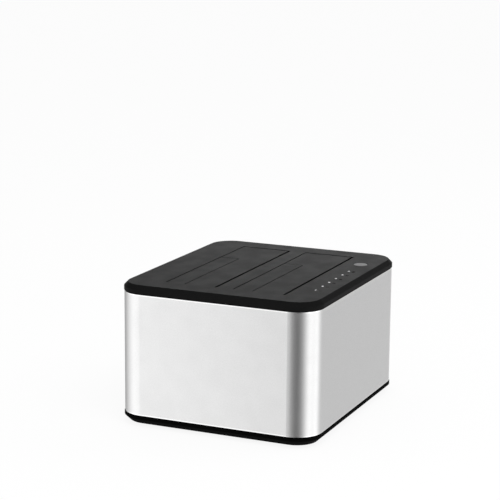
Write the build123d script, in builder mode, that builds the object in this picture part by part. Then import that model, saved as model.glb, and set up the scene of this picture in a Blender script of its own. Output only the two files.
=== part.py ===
from build123d import *
import os
from math import cos, radians, sin, sqrt, tan

# A docking station with two upright bays: an anodised aluminium sleeve clamped between a moulded
# cover and a moulded base. Lengths are millimetres, the front is -Y and z = 0 is the table.

os.makedirs("parts", exist_ok=True)

overrun = 1.0  # how far every cut runs past the face it opens

# Standard form factors that the bays take
wide_form_width = 101.6
wide_form_thickness = 26.1
narrow_form_width = 69.85
narrow_form_thickness = 9.5
insertion_depth = 47.1  # how deep either form sits below the cover's top
form_end_gap = 0.7  # from the bay's left end to the form's edge
form_rear_gap = 2.1  # from the bay's rear edge to the form's back plane
form_play = 0.2  # running gap to the guide ribs

# Bays
bay_length = 107.2
bay_width = 31.2
bay_pitch = 40.8
bay_corner_radius = 0.8

# Aluminium sleeve
side_strip = 15.6  # from a bay's end to the sleeve's side
front_strip = 22.7  # from the front bay's edge to the sleeve's front
rear_strip = 23.7  # from the rear bay's edge to the sleeve's back
sleeve_height = 70.3
sleeve_wall = 2.0
corner_radius = 15.0
cut_edge_chamfer = 0.5

# Moulded cover
cover_overhang = 0.2
cover_rim_height = 2.3
cover_bevel_height = 2.3
cover_bevel_inset = 2.2
cover_plate = 2.2
cover_edge_radius = 0.4
lip_gap = 0.2
lip_wall = 1.8
cover_lip_depth = 4.0

# Moulded base
base_overhang = 0.3
base_rim_height = 1.8
base_taper_height = 3.0
base_taper_inset = 3.2
base_floor = 2.0
base_lip_height = 3.5
vent_count = 9
vent_pitch = 6.0
vent_width = 2.2
vent_length = 30.0

# Rubber feet
foot_radius = 7.0
foot_proud = 1.5
foot_recess = 0.8
foot_play = 0.1
foot_edge_radius = 0.5
foot_spread_x = 98.0
foot_spread_y = 78.0

# Flaps and their hinges
flap_recess = 0.15
flap_thickness = 1.6
flap_end_gap = 0.25
flap_free_gap = 0.4
flap_corner_radius = 0.5
main_hinge_gap = 1.65
small_hinge_gap = 0.4
slot_play = 0.25
slot_gap = 0.5
narrow_slot_play = 2.95
hinge_setback = 1.6  # axis behind the bay's edge
barrel_radius = 1.25
barrel_gap = 0.15  # barrel to the cover's underside
pin_radius = 0.6
pin_play = 0.05
arm_half = 0.6
arm_inset = 0.2
arm_riser = 1.0
stop_gap = 0.1
knuckle_length = 7.0
knuckle_setback = 2.7
lug_radius = 1.4
lug_thickness = 2.5
lug_side_gap = 0.3

# Torsion springs
wire_radius = 0.2
coil_radius = 1.05
coil_pitch = 0.9
coil_turns = 5.25
spring_half_space = 4.0
spring_arm_length = 6.5
spring_tail_length = 3.0
spring_pad_start = 3.6
spring_pad_length = 2.4
spring_pad_width = 3.6
spring_pad_height = 0.4

# Bay wells
well_wall = 1.5
well_floor = 1.6
well_side_gap = 0.5
well_end_gap = 0.2
well_top_gap = 0.2
pocket_gap = 0.2
pocket_depth = 6.3  # hinge pocket below the cover's underside
socket_window_gap = 0.5
rib_thickness = 2.0
front_rib_height = 10.0
rear_rib_height = 27.0
rib_spread = 42.0
end_rib_setback = 8.0
well_tab_setback = 6.0
well_tab_width = 7.0
well_tab_thickness = 2.0
well_boss_radius = 2.8

# Case posts and screws
base_post_radius = 4.2
cover_post_radius = 3.5
post_gap = 0.9
post_split_gap = 0.2
screw_web = 4.0
screw_play = 0.2
thread_play = 0.05
driver_slot_width = 0.6
case_screw_radius = 1.5
case_screw_length = 14.0
case_head_radius = 2.8
case_head_height = 1.9
small_screw_radius = 1.1
small_screw_length = 7.0
small_head_radius = 2.1
small_head_height = 1.5

# Main board
board_thickness = 1.6
board_side_gap = 1.0
board_front_margin = 9.2
board_rear_margin = 2.7
board_corner_radius = 2.0
board_post_radius = 3.0
board_post_inset_x = 5.2
board_post_inset_front = 10.0
board_post_inset_rear = 14.5

# Upright receptacles on the main board
socket_offset = 30.0  # from the form's left edge to the receptacle's middle
tongue_offset = 3.5  # from the form's back plane to the receptacle's middle
socket_length = 42.7
socket_base_depth = 7.4
socket_under_gap = 0.2  # receptacle's foot to the well's floor
socket_foot_height = 4.7
socket_head_length = 39.6
socket_head_depth = 4.8
socket_head_rise = 6.0
slot_depth = 5.2
slot_width = 1.5
key_reach = 1.3
key_width = 1.5
power_slot_length = 21.2
data_slot_length = 11.0
slot_spacing = 3.0
contact_pitch = 1.27
contact_width = 0.6
contact_thickness = 0.25
contact_height = 4.6
power_contacts = 15
data_contacts = 7

# Rear panel and what shows in it
panel_width = 84.0
panel_height = 22.0
panel_sill = 4.1  # below the board's top
panel_corner_radius = 3.0
panel_recess = 0.2
panel_gap = 0.15
panel_flange = 3.0
panel_flange_thickness = 1.2
panel_cut_gap = 0.3
port_recess = 0.6
port_end_margin = 14.0  # from the panel's end to the outer ports' middles

# Square data inlet
usb_width = 12.1
usb_height = 12.4
usb_length = 18.2
usb_shell = 0.4
usb_lower_width = 8.5
usb_lower_height = 7.8
usb_upper_width = 5.9
usb_upper_height = 2.4
usb_cavity_depth = 9.0
usb_floor = 1.1
usb_blade_width = 5.6
usb_blade_height = 3.2
usb_blade_setback = 1.0
usb_blade_radius = 0.4
usb_upper_blade_height = 0.9
usb_contact_width = 0.9
usb_contact_thickness = 0.2
usb_contact_length = 6.5
usb_contact_pitch = 2.5

# Round power inlet
dc_width = 9.0
dc_height = 11.0
dc_length = 14.0
dc_axis_height = 6.5
dc_collar_radius = 4.0
dc_bore_radius = 3.2
dc_bore_depth = 9.5
dc_pin_radius = 1.0
dc_pin_setback = 1.0

# Power switch
switch_width = 15.6
switch_height = 11.6
switch_depth = 12.0
rocker_half_length = 5.0
rocker_height = 7.0
rocker_rise = 3.0  # pivot to the valley between the rocker's two faces
rocker_back = 1.6
rocker_half_angle = 10.0
rocker_gap = 0.3
rocker_proud = 0.25  # the pressed half stands this far out of the panel's back face
rocker_stub_radius = 0.8
rocker_stub_length = 1.0

# Parts soldered to the main board
controller_size = 14.0
controller_height = 1.4
bridge_size = 9.0
bridge_height = 1.0
flash_length = 5.2
flash_width = 4.0
flash_height = 1.7
chip_edge_radius = 0.2
inductor_size = 7.0
inductor_height = 3.4
inductor_radius = 1.2
capacitor_radius = 4.0
capacitor_height = 10.0
capacitor_pitch = 12.0
capacitor_groove = 0.3
capacitor_groove_height = 1.6
crystal_length = 10.2
crystal_width = 4.4
crystal_height = 3.0

# Indicator row and copy button
indicator_offset = 10.6  # in front of the front bay's edge
indicator_first_x = -35.95
indicator_pitch = 10.4
indicator_count = 6
indicator_board_drop = 5.0
indicator_board_length = 96.0
indicator_board_width = 11.0
indicator_board_thickness = 1.2
indicator_screw_x = 45.0
indicator_boss_radius = 2.2
indicator_screw_length = 5.5
lamp_length = 1.6
lamp_width = 0.8
lamp_height = 0.8
pipe_radius = 0.6
pipe_play = 0.05
pipe_web_width = 3.2
pipe_web_height = 1.6
pipe_foot_radius = 1.1
pipe_lamp_gap = 0.3
button_x = 35.7
button_radius = 4.0
button_play = 0.2
button_proud = 0.1
button_flange_radius = 5.2
button_flange_height = 0.7
button_flange_gap = 0.3
button_edge = 0.25
button_travel = 0.5
tact_size = 6.2
tact_clearance = 0.4
tact_bore_radius = 2.0
tact_bore_depth = 2.0
tact_plunger_radius = 1.7
tact_plunger_gap = 0.3

# Flat lead between the two boards
lead_width = 8.0
lead_thickness = 0.3
lead_x = 22.0
lead_bend_radius = 4.0
header_length = 10.0
header_depth = 3.0
header_height = 2.5
lead_entry = 1.0
main_header_setback = 5.0

# Case outline, worked out from the bays
sleeve_width = bay_length + 2 * side_strip
sleeve_depth = bay_pitch + bay_width + front_strip + rear_strip
cavity_width = sleeve_width - 2 * sleeve_wall
cavity_depth = sleeve_depth - 2 * sleeve_wall
cavity_radius = corner_radius - sleeve_wall
lip_width = cavity_width - 2 * lip_gap
lip_depth = cavity_depth - 2 * lip_gap
lip_radius = cavity_radius - lip_gap
hollow_width = lip_width - 2 * lip_wall
hollow_depth = lip_depth - 2 * lip_wall
hollow_radius = lip_radius - lip_wall
cover_width = sleeve_width + 2 * cover_overhang
cover_depth = sleeve_depth + 2 * cover_overhang
cover_radius = corner_radius + cover_overhang
base_width = sleeve_width + 2 * base_overhang
base_depth = sleeve_depth + 2 * base_overhang
base_radius = corner_radius + base_overhang

# Levels, from the table up
base_bottom = foot_proud
base_floor_top = base_bottom + base_floor
sleeve_bottom = base_bottom + base_taper_height + base_rim_height
sleeve_top = sleeve_bottom + sleeve_height
cover_top = sleeve_top + cover_rim_height + cover_bevel_height
cover_underside = cover_top - cover_plate
hinge_z = cover_underside - barrel_gap - barrel_radius
flap_top = cover_top - flap_recess
flap_underside = flap_top - flap_thickness
seat_z = cover_top - insertion_depth
socket_foot_top = seat_z - well_floor - socket_under_gap
board_top = socket_foot_top - socket_foot_height
board_underside = board_top - board_thickness
indicator_board_top = cover_underside - indicator_board_drop

# Case posts, on the diagonal of each rounded corner
post_diagonal = (hollow_radius - base_post_radius - post_gap) / sqrt(2)
post_x = hollow_width / 2 - hollow_radius + post_diagonal
post_y = hollow_depth / 2 - hollow_radius + post_diagonal
post_split = (base_floor_top + cover_underside) / 2
post_points = [(sx * post_x, sy * post_y) for sx in (-1, 1) for sy in (-1, 1)]

# Bays, their edges and what they take
bays_middle = (front_strip - rear_strip) / 2
bays = {"front": bays_middle - bay_pitch / 2, "rear": bays_middle + bay_pitch / 2}
flap_half = bay_length / 2 - flap_end_gap
form_left = -bay_length / 2 + form_end_gap
form_right = form_left + wide_form_width
small_flap_end = -flap_half + narrow_form_width + narrow_slot_play
socket_x = form_left + socket_offset
well_side = well_side_gap + well_wall
well_inner_end = bay_length / 2 + well_end_gap
well_outer_end = well_inner_end + well_wall
pocket_reach = hinge_setback + lug_radius + pocket_gap
pocket_bottom = cover_underside - pocket_depth
tab_x = (well_outer_end + hollow_width / 2) / 2
tab_near = well_outer_end - well_wall / 2
tab_far = tab_x + well_boss_radius


def tab_points(centre_y, x):
    """Four places at x either side of a bay, one for each screw tab of its well."""
    reach = bay_width / 2 - well_tab_setback
    return [(sx * x, centre_y + sy * reach) for sx in (-1, 1) for sy in (-1, 1)]


# Main board and its posts
board_half_width = post_x - base_post_radius - board_side_gap
board_front = -cavity_depth / 2 + board_front_margin
board_rear = cavity_depth / 2 - board_rear_margin
board_post_points = [
    (sx * (board_half_width - board_post_inset_x), y)
    for sx in (-1, 1)
    for y in (board_front + board_post_inset_front, board_rear - board_post_inset_rear)
]

# Rear face
port_mouth = sleeve_depth / 2 - port_recess
panel_back = cavity_depth / 2
panel_bottom = board_top - panel_sill
dc_x = panel_width / 2 - port_end_margin
switch_x = -dc_x

# Indicator row
indicator_y = bays["front"] - bay_width / 2 - indicator_offset
indicator_points = [
    (indicator_first_x + n * indicator_pitch, indicator_y) for n in range(indicator_count)
]
indicator_screw_points = [(sx * indicator_screw_x, indicator_y) for sx in (-1, 1)]

# Every hinge: its axis, which way its flap lies, the gap at its edge, and the flap's two ends
hinges = {}
for bay, centre_y in bays.items():
    main_axis = centre_y - bay_width / 2 - hinge_setback
    small_axis = centre_y + bay_width / 2 + hinge_setback
    hinges[f"{bay}_main_flap"] = (main_axis, 1, main_hinge_gap, -flap_half, flap_half)
    hinges[f"{bay}_small_flap"] = (small_axis, -1, small_hinge_gap, -flap_half, small_flap_end)


def knuckle_starts(start, end):
    """Left faces of a flap's two knuckles, one near each end."""
    return start + knuckle_setback, end - knuckle_setback - knuckle_length


def lug_starts(start, end):
    """Left faces of the cover's lugs: one each side of both knuckles and of the spring."""
    middle = (start + end) / 2
    around_knuckles = [
        x
        for knuckle in knuckle_starts(start, end)
        for x in (knuckle - lug_side_gap - lug_thickness, knuckle + knuckle_length + lug_side_gap)
    ]
    return around_knuckles + [middle - spring_half_space - lug_thickness, middle + spring_half_space]


def write(piece, name):
    """Labels a finished piece and writes it under the same name."""
    piece.part.label = name
    export_step(piece.part, f"parts/{name}.step")


# Aluminium sleeve: a cut length of rounded tube with a window for the rear panel
with BuildPart() as aluminium_sleeve:
    with BuildSketch(Plane.XY.offset(sleeve_bottom)):
        RectangleRounded(sleeve_width, sleeve_depth, corner_radius)
    extrude(amount=sleeve_height)
    cut_faces = aluminium_sleeve.faces().filter_by(Plane.XY)
    chamfer(cut_faces.edges(), length=cut_edge_chamfer)
    with BuildSketch(Plane.XY.offset(sleeve_bottom)):
        RectangleRounded(cavity_width, cavity_depth, cavity_radius)
    extrude(amount=sleeve_height, mode=Mode.SUBTRACT)
    with BuildSketch(Plane.XZ.offset(-sleeve_depth / 2 - overrun)):
        with Locations((0, panel_bottom + panel_height / 2)):
            RectangleRounded(panel_width, panel_height, panel_corner_radius)
    extrude(amount=sleeve_wall + 2 * overrun, mode=Mode.SUBTRACT)
write(aluminium_sleeve, "aluminium_sleeve")

# Top cover: a bevelled lid that plugs into the sleeve, open over both bays, with hinge lugs,
# well bosses, indicator board bosses and corner posts under it
with BuildPart() as top_cover:
    with BuildSketch(Plane.XY.offset(sleeve_top)):
        RectangleRounded(cover_width, cover_depth, cover_radius)
    extrude(amount=cover_rim_height + cover_bevel_height)
    lid_face = top_cover.faces().sort_by(Axis.Z)[-1]
    chamfer(
        lid_face.edges(), length=cover_bevel_inset, length2=cover_bevel_height, reference=lid_face
    )
    fillet(top_cover.faces().sort_by(Axis.Z)[-1].edges(), radius=cover_edge_radius)
    with BuildSketch(Plane.XY.offset(sleeve_top - cover_lip_depth)):
        RectangleRounded(lip_width, lip_depth, lip_radius)
    extrude(amount=cover_lip_depth)
    with BuildSketch(Plane.XY.offset(sleeve_top - cover_lip_depth)):
        RectangleRounded(hollow_width, hollow_depth, hollow_radius)
    extrude(amount=cover_underside - sleeve_top + cover_lip_depth, mode=Mode.SUBTRACT)
    # Bay openings
    with BuildSketch(Plane.XY.offset(cover_underside)):
        with Locations([(0, centre_y) for centre_y in bays.values()]):
            RectangleRounded(bay_length, bay_width, bay_corner_radius)
    extrude(amount=cover_plate + overrun, mode=Mode.SUBTRACT)
    # Holes for the light pipes and the copy button
    with BuildSketch(Plane.XY.offset(cover_underside)):
        with Locations(indicator_points):
            Circle(pipe_radius + pipe_play)
        with Locations((button_x, indicator_y)):
            Circle(button_radius + button_play)
    extrude(amount=cover_plate + overrun, mode=Mode.SUBTRACT)
    # Corner posts, down to the base's posts
    with BuildSketch(Plane.XY.offset(post_split)):
        with Locations(post_points):
            Circle(cover_post_radius)
            Circle(case_screw_radius + thread_play, mode=Mode.SUBTRACT)
    extrude(amount=cover_underside - post_split)
    # Bosses that the bay wells screw to
    with BuildSketch(Plane.XY.offset(pocket_bottom)):
        with Locations([point for y in bays.values() for point in tab_points(y, tab_x)]):
            Circle(well_boss_radius)
            Circle(small_screw_radius + thread_play, mode=Mode.SUBTRACT)
    extrude(amount=cover_underside - pocket_bottom)
    # Bosses for the indicator board
    with BuildSketch(Plane.XY.offset(indicator_board_top)):
        with Locations(indicator_screw_points):
            Circle(indicator_boss_radius)
            Circle(small_screw_radius + thread_play, mode=Mode.SUBTRACT)
    extrude(amount=cover_underside - indicator_board_top)
    # Hinge lugs
    for axis_y, side, edge_gap, start, end in hinges.values():
        for lug_start in lug_starts(start, end):
            with BuildSketch(Plane.YZ.offset(lug_start)):
                with Locations((axis_y, hinge_z)):
                    Circle(lug_radius)
                with Locations((axis_y, (hinge_z + cover_underside) / 2)):
                    Rectangle(2 * lug_radius, cover_underside - hinge_z)
                with Locations((axis_y, hinge_z)):
                    Circle(pin_radius + pin_play, mode=Mode.SUBTRACT)
            extrude(amount=lug_thickness)
write(top_cover, "top_cover")

# Base: a tapered tray with a lip inside the sleeve, screw posts, board posts, foot recesses
# and two rows of vents
with BuildPart() as base_plate:
    taper_top = base_bottom + base_taper_height
    with BuildSketch(Plane.XY.offset(base_bottom)):
        RectangleRounded(
            base_width - 2 * base_taper_inset,
            base_depth - 2 * base_taper_inset,
            base_radius - base_taper_inset,
        )
    with BuildSketch(Plane.XY.offset(taper_top)):
        RectangleRounded(base_width, base_depth, base_radius)
    loft(ruled=True)
    with BuildSketch(Plane.XY.offset(taper_top)):
        RectangleRounded(base_width, base_depth, base_radius)
    extrude(amount=base_rim_height)
    with BuildSketch(Plane.XY.offset(sleeve_bottom)):
        RectangleRounded(lip_width, lip_depth, lip_radius)
    extrude(amount=base_lip_height)
    with BuildSketch(Plane.XY.offset(base_floor_top)):
        RectangleRounded(hollow_width, hollow_depth, hollow_radius)
    extrude(amount=sleeve_bottom + base_lip_height - base_floor_top, mode=Mode.SUBTRACT)
    # Corner posts with their deep screw wells
    with BuildSketch(Plane.XY.offset(base_floor_top)):
        with Locations(post_points):
            Circle(base_post_radius)
    extrude(amount=post_split - post_split_gap - base_floor_top)
    with BuildSketch(Plane.XY.offset(base_bottom)):
        with Locations(post_points):
            Circle(case_head_radius + screw_play)
    extrude(
        amount=post_split - post_split_gap - screw_web - base_bottom, mode=Mode.SUBTRACT
    )
    with BuildSketch(Plane.XY.offset(base_bottom)):
        with Locations(post_points):
            Circle(case_screw_radius + screw_play)
    extrude(amount=post_split - base_bottom, mode=Mode.SUBTRACT)
    # Posts under the main board
    with BuildSketch(Plane.XY.offset(base_floor_top)):
        with Locations(board_post_points):
            Circle(board_post_radius)
    extrude(amount=board_underside - base_floor_top)
    with BuildSketch(Plane.XY.offset(board_underside - small_screw_length)):
        with Locations(board_post_points):
            Circle(small_screw_radius + thread_play)
    extrude(amount=small_screw_length + overrun, mode=Mode.SUBTRACT)
    # Recesses for the feet, and the vents
    with BuildSketch(Plane.XY.offset(base_bottom)):
        with GridLocations(foot_spread_x, foot_spread_y, 2, 2):
            Circle(foot_radius + foot_play)
    extrude(amount=foot_recess, mode=Mode.SUBTRACT)
    with BuildSketch(Plane.XY.offset(base_bottom)):
        with GridLocations(vent_pitch, bay_pitch, vent_count, 2):
            SlotOverall(vent_length, vent_width, rotation=90)
    extrude(amount=base_floor, mode=Mode.SUBTRACT)
write(base_plate, "base_plate")

# Feet: four soft discs glued into the base's recesses
with BuildPart() as rubber_feet:
    with BuildSketch():
        with GridLocations(foot_spread_x, foot_spread_y, 2, 2):
            Circle(foot_radius)
    extrude(amount=foot_proud + foot_recess)
    foot_soles = rubber_feet.faces().filter_by(Plane.XY).group_by(Axis.Z)[0]
    fillet(foot_soles.edges(), radius=foot_edge_radius)
write(rubber_feet, "rubber_feet")

# Bay wells: a guide box under each opening, wider at the top where the hinges work
for bay, centre_y in bays.items():
    form_rear = centre_y + bay_width / 2 - form_rear_gap
    form_front = form_rear - wide_form_thickness
    front_wall = centre_y - bay_width / 2 - well_side_gap
    rear_wall = centre_y + bay_width / 2 + well_side_gap
    with BuildPart() as bay_well:
        with BuildSketch(Plane.XY.offset(seat_z - well_floor)):
            with Locations((0, centre_y)):
                Rectangle(2 * well_outer_end, bay_width + 2 * well_side)
        extrude(amount=pocket_bottom - seat_z + well_floor)
        with BuildSketch(Plane.XY.offset(pocket_bottom - well_wall)):
            with Locations((0, centre_y)):
                Rectangle(2 * well_outer_end, bay_width + 2 * (pocket_reach + well_wall))
        extrude(amount=cover_underside - well_top_gap - pocket_bottom + well_wall)
        # Screw tabs at both ends
        with BuildSketch(Plane.XY.offset(pocket_bottom - well_tab_thickness)):
            with Locations(tab_points(centre_y, (tab_near + tab_far) / 2)):
                Rectangle(tab_far - tab_near, well_tab_width)
            with Locations(tab_points(centre_y, tab_x)):
                Circle(small_screw_radius + screw_play, mode=Mode.SUBTRACT)
        extrude(amount=well_tab_thickness)
        # The bay's own space, then the hinge pockets above it
        with BuildSketch(Plane.XY.offset(seat_z)):
            with Locations((0, centre_y)):
                Rectangle(2 * well_inner_end, bay_width + 2 * well_side_gap)
        extrude(amount=cover_underside - seat_z, mode=Mode.SUBTRACT)
        with BuildSketch(Plane.XY.offset(pocket_bottom)):
            with Locations((0, centre_y)):
                Rectangle(2 * well_inner_end, bay_width + 2 * pocket_reach)
        extrude(amount=cover_underside - pocket_bottom, mode=Mode.SUBTRACT)
        # Window over the receptacle's head
        with BuildSketch(Plane.XY.offset(seat_z - well_floor)):
            with Locations((socket_x, form_rear - tongue_offset)):
                Rectangle(
                    socket_head_length + 2 * socket_window_gap,
                    socket_head_depth + 2 * socket_window_gap,
                )
        extrude(amount=well_floor, mode=Mode.SUBTRACT)
        # Low guide ribs on the front wall and both ends
        with BuildSketch(Plane.XY.offset(seat_z)):
            front_reach = form_front - form_play - front_wall
            left_reach = form_left - form_play + well_inner_end
            right_reach = well_inner_end - form_right - form_play
            end_rib_reach = bay_width / 2 - end_rib_setback
            for n in (-1, 0, 1):
                with Locations((n * rib_spread, front_wall + front_reach / 2)):
                    Rectangle(rib_thickness, front_reach)
            for sy in (-1, 1):
                with Locations((-well_inner_end + left_reach / 2, centre_y + sy * end_rib_reach)):
                    Rectangle(left_reach, rib_thickness)
                with Locations((well_inner_end - right_reach / 2, centre_y + sy * end_rib_reach)):
                    Rectangle(right_reach, rib_thickness)
        extrude(amount=front_rib_height)
        # Tall guide ribs on the rear wall
        with BuildSketch(Plane.XY.offset(seat_z)):
            rear_reach = rear_wall - form_rear - form_play
            for n in (-1, 0, 1):
                with Locations((n * rib_spread, rear_wall - rear_reach / 2)):
                    Rectangle(rib_thickness, rear_reach)
        extrude(amount=rear_rib_height)
    write(bay_well, f"{bay}_bay_well")


def add_hinge_arms(axis_y, side, edge_gap, start, end):
    """Adds a flap's two knuckles: a barrel on the pin, an arm under the cover's edge with a
    closing stop, and a riser up to the flap's underside."""
    riser_near = hinge_setback + edge_gap + arm_inset
    riser_far = riser_near + arm_riser
    stop_reach = hinge_setback - stop_gap
    stop_rise = cover_underside - hinge_z - stop_gap
    flap_rise = flap_underside - hinge_z
    arm = [
        (0, -arm_half),
        (riser_far, -arm_half),
        (riser_far, flap_rise),
        (riser_near, flap_rise),
        (riser_near, arm_half),
        (stop_reach, arm_half),
        (stop_reach, stop_rise),
        (0, stop_rise),
    ]
    for knuckle in knuckle_starts(start, end):
        with BuildSketch(Plane.YZ.offset(knuckle)) as arm_section:
            with Locations((axis_y, hinge_z)):
                Circle(barrel_radius)
                Polygon(*[(side * away, up) for away, up in arm])
                Circle(pin_radius + pin_play, mode=Mode.SUBTRACT)
        extrude(arm_section.sketch, amount=knuckle_length)
    # Pad that the spring's arm bears on
    with BuildSketch(Plane.XY.offset(flap_underside - spring_pad_height)) as pad_section:
        spring_side = (start + end) / 2 - side * spring_pad_width / 2
        with Locations((spring_side, axis_y + side * (spring_pad_start + spring_pad_length / 2))):
            Rectangle(spring_pad_width, spring_pad_length)
    extrude(pad_section.sketch, amount=spring_pad_height)


for bay, centre_y in bays.items():
    bay_front = centre_y - bay_width / 2
    bay_rear = centre_y + bay_width / 2
    slot_edge = bay_rear - form_rear_gap - narrow_form_thickness - slot_play
    # Main flap: an L that leaves the narrow slot to the small flap
    with BuildPart() as main_flap:
        with BuildSketch(Plane.XY.offset(flap_underside)) as main_outline:
            Polygon(
                (-flap_half, bay_front + main_hinge_gap),
                (flap_half, bay_front + main_hinge_gap),
                (flap_half, bay_rear - flap_free_gap),
                (small_flap_end + slot_gap, bay_rear - flap_free_gap),
                (small_flap_end + slot_gap, slot_edge),
                (-flap_half, slot_edge),
            )
            fillet(main_outline.vertices(), radius=flap_corner_radius)
        extrude(amount=flap_thickness)
        add_hinge_arms(*hinges[f"{bay}_main_flap"])
    write(main_flap, f"{bay}_main_flap")
    # Small flap over the narrow slot
    with BuildPart() as small_flap:
        with BuildSketch(Plane.XY.offset(flap_underside)) as small_outline:
            Polygon(
                (-flap_half, slot_edge + slot_gap),
                (small_flap_end, slot_edge + slot_gap),
                (small_flap_end, bay_rear - small_hinge_gap),
                (-flap_half, bay_rear - small_hinge_gap),
            )
            fillet(small_outline.vertices(), radius=flap_corner_radius)
        extrude(amount=flap_thickness)
        add_hinge_arms(*hinges[f"{bay}_small_flap"])
    write(small_flap, f"{bay}_small_flap")

# Hinge pins: one steel rod through each flap's lugs and knuckles
for name, (axis_y, side, edge_gap, start, end) in hinges.items():
    pin_start = min(lug_starts(start, end))
    pin_end = max(lug_starts(start, end)) + lug_thickness
    with BuildPart() as hinge_pin:
        with BuildSketch(Plane.YZ.offset(pin_start)):
            with Locations((axis_y, hinge_z)):
                Circle(pin_radius)
        extrude(amount=pin_end - pin_start)
    write(hinge_pin, f"{name}_pin")

# Torsion springs: a coil round each pin, one arm under the flap and a tail down the pocket wall
for name, (axis_y, side, edge_gap, start, end) in hinges.items():
    coil_length = coil_pitch * coil_turns
    coil_start = (start + end - side * coil_length) / 2
    coil_plane = Plane(origin=(coil_start, axis_y, hinge_z), x_dir=(0, 0, 1), z_dir=(side, 0, 0))
    with BuildLine() as flat_path:
        coil = Helix(coil_pitch, coil_length, coil_radius)
        Line((coil @ 0) - (coil % 0) * spring_arm_length, coil @ 0)
        Line(coil @ 1, (coil @ 1) + (coil % 1) * spring_tail_length)
    wire_path = flat_path.wire().moved(coil_plane.location)
    with BuildPart() as torsion_spring:
        with BuildSketch(Plane(origin=wire_path @ 0, z_dir=wire_path % 0)):
            Circle(wire_radius)
        sweep(path=wire_path, is_frenet=True)
    write(torsion_spring, f"{name}_spring")

# Main board: a glass fibre board on four posts
with BuildPart() as main_board:
    board_middle = (board_front + board_rear) / 2
    with BuildSketch(Plane.XY.offset(board_underside)):
        with Locations((0, board_middle)):
            RectangleRounded(2 * board_half_width, board_rear - board_front, board_corner_radius)
        with Locations(board_post_points):
            Circle(small_screw_radius + screw_play, mode=Mode.SUBTRACT)
    extrude(amount=board_thickness)
write(main_board, "main_board")

# Upright receptacles: a foot on the main board and a slotted head through the well's window,
# with one row of contacts in each slot
power_slot_x = socket_x - (data_slot_length + slot_spacing) / 2
data_slot_x = socket_x + (power_slot_length + slot_spacing) / 2
head_top = seat_z + socket_head_rise
for bay, centre_y in bays.items():
    tongue_y = centre_y + bay_width / 2 - form_rear_gap - tongue_offset
    with BuildPart() as sata_socket:
        with BuildSketch(Plane.XY.offset(board_top)):
            with Locations((socket_x, tongue_y)):
                Rectangle(socket_length, socket_base_depth)
        extrude(amount=socket_foot_height)
        with BuildSketch(Plane.XY.offset(socket_foot_top)):
            with Locations((socket_x, tongue_y)):
                Rectangle(socket_head_length, socket_head_depth)
        extrude(amount=head_top - socket_foot_top)
        with BuildSketch(Plane.XY.offset(head_top - slot_depth)):
            for slot_x, slot_length in (
                (power_slot_x, power_slot_length),
                (data_slot_x, data_slot_length),
            ):
                key_x = slot_x + (slot_length - key_width) / 2
                with Locations((slot_x, tongue_y)):
                    Rectangle(slot_length, slot_width)
                with Locations((key_x, tongue_y + (slot_width - key_reach) / 2)):
                    Rectangle(key_width, slot_width + key_reach)
        extrude(amount=slot_depth, mode=Mode.SUBTRACT)
    write(sata_socket, f"{bay}_sata_socket")
    with BuildPart() as sata_contacts:
        contact_y = tongue_y - (slot_width - contact_thickness) / 2
        with BuildSketch(Plane.XY.offset(head_top - slot_depth)):
            with Locations((power_slot_x, contact_y)):
                with GridLocations(contact_pitch, 0, power_contacts, 1):
                    Rectangle(contact_width, contact_thickness)
            with Locations((data_slot_x, contact_y)):
                with GridLocations(contact_pitch, 0, data_contacts, 1):
                    Rectangle(contact_width, contact_thickness)
        extrude(amount=contact_height)
    write(sata_contacts, f"{bay}_sata_contacts")

# Rear panel: a moulded plate in the sleeve's window, held by a flange at each end behind it
usb_axis_z = board_top + usb_height / 2
dc_axis_z = board_top + dc_axis_height
switch_axis_z = board_top + switch_height / 2
lean_cos = cos(radians(rocker_half_angle))
lean_sin = sin(radians(rocker_half_angle))
rocker_end_rise = rocker_rise + rocker_half_length * tan(radians(rocker_half_angle))
rocker_reach = rocker_half_length / lean_cos + rocker_rise * lean_sin
rocker_pivot_y = panel_back + rocker_proud - rocker_rise * lean_cos
rocker_space_length = 2 * (rocker_reach + rocker_gap)
rocker_space_height = rocker_height + 2 * rocker_gap
with BuildPart() as port_panel:
    panel_middle = panel_bottom + panel_height / 2
    with BuildSketch(Plane.XZ.offset(-panel_back)):
        with Locations((0, panel_middle)):
            RectangleRounded(
                panel_width - 2 * panel_gap,
                panel_height - 2 * panel_gap,
                panel_corner_radius - panel_gap,
            )
    extrude(amount=-(sleeve_wall - panel_recess))
    with BuildSketch(Plane.XZ.offset(-panel_back)):
        with Locations([(sx * panel_width / 2, panel_middle) for sx in (-1, 1)]):
            Rectangle(2 * panel_flange, panel_height - 2 * panel_corner_radius)
    extrude(amount=panel_flange_thickness)
    with BuildSketch(Plane.XZ.offset(-sleeve_depth / 2)):
        with Locations((0, usb_axis_z)):
            Rectangle(usb_width + 2 * panel_cut_gap, usb_height + 2 * panel_cut_gap)
        with Locations((dc_x, dc_axis_z)):
            Circle(dc_collar_radius + panel_cut_gap)
        with Locations((switch_x, switch_axis_z)):
            Rectangle(rocker_space_length, rocker_space_height)
    extrude(amount=sleeve_wall + panel_flange_thickness + overrun, mode=Mode.SUBTRACT)
write(port_panel, "port_panel")

# Square data inlet: a folded steel shell, open at the panel, round a moulded housing
usb_cavity_bottom = board_top + usb_shell + usb_floor
with BuildPart() as usb_socket_shell:
    with BuildSketch(Plane.XZ.offset(-port_mouth)):
        with Locations((0, usb_axis_z)):
            Rectangle(usb_width, usb_height)
            Rectangle(usb_width - 2 * usb_shell, usb_height - 2 * usb_shell, mode=Mode.SUBTRACT)
    extrude(amount=usb_length)
    with BuildSketch(Plane.XZ.offset(-port_mouth + usb_length - usb_shell)):
        with Locations((0, usb_axis_z)):
            Rectangle(usb_width, usb_height)
    extrude(amount=usb_shell)
write(usb_socket_shell, "usb_socket_shell")

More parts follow.
